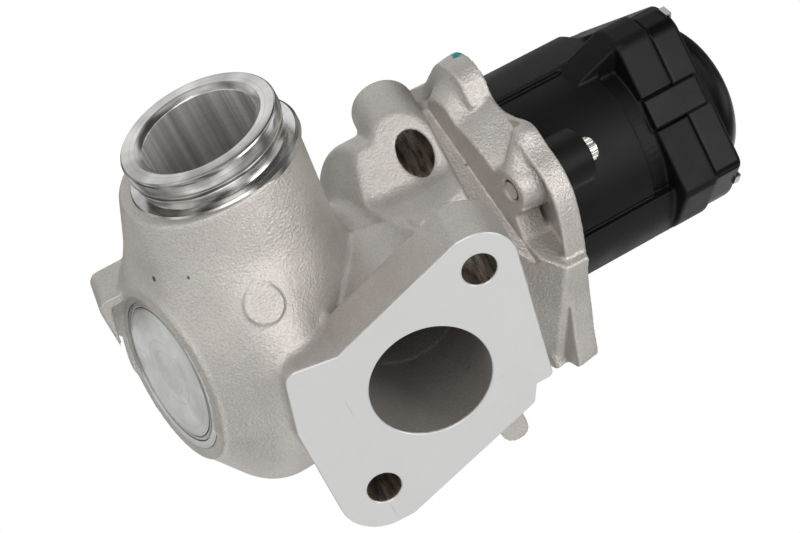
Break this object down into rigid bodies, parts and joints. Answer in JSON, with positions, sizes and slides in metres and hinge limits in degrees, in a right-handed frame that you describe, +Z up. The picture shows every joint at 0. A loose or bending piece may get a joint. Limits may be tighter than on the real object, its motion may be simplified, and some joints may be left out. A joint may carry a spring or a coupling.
{
  "type": "egr valve",
  "caption": "Exhaust gas recirculation valve: cast body with flanged port and ringed neck, poppet valve, and a solenoid actuator with a domed cover.",
  "frame": {"origin": "centre of the port on the flange face", "axes": "+X to the right, +Y into the part from the flange face, +Z up along the neck"},
  "size_m": [0.1662, 0.115, 0.1166],
  "materials": {
    "cast_aluminium": "blasted casting",
    "machined_aluminium": "turned",
    "steel": "turned",
    "spring_steel": "drawn",
    "zinc_steel": "zinc plated",
    "bronze": "sintered",
    "seal_rubber": "moulded",
    "black_plastic": "moulded, matte",
    "gloss_black_plastic": "moulded, glossy",
    "bobbin_plastic": "moulded",
    "copper_wire": "enamelled wire",
    "contact_metal": "plated",
    "magnet": "sintered",
    "circuit_board": "solder mask"
  },
  "bodies": {
    "housing": {"body_casting": "cast_aluminium", "closing_plug": "machined_aluminium", "plug_snap_ring": "spring_steel", "valve_seat": "steel", "stem_guide": "bronze", "stem_seal": "seal_rubber", "seal_washer": "steel", "return_spring": "spring_steel", "actuator_housing": "black_plastic", "connector_pins": "contact_metal", "mounting_screws": "zinc_steel", "compression_sleeves": "steel", "actuator_gasket": "seal_rubber", "pole_core": "steel", "front_yoke_plate": "steel", "yoke_can": "steel", "rear_yoke_plate": "steel", "armature_tube": "steel", "coil_bobbin": "bobbin_plastic", "coil_winding": "copper_wire", "sensor_holder": "bobbin_plastic", "sensor_board": "circuit_board", "sensor_chip": "black_plastic", "end_cover": "gloss_black_plastic", "cover_seal": "seal_rubber", "cover_clips": "spring_steel"},
    "valve": {"valve_poppet": "steel", "valve_stem": "steel", "spring_retainer": "steel", "push_rod": "steel", "armature": "steel", "sensor_magnet": "magnet"}
  },
  "joints": [
    {"name": "valve_lift", "type": "slide", "parent": "housing", "child": "valve", "axis": [-0.92, -0.324, 0.2207], "range_m": [0, 0.0055], "stiffness_N_per_m": 3500, "springref_m": -0.006, "deforming": ["return_spring"]}
  ]
}
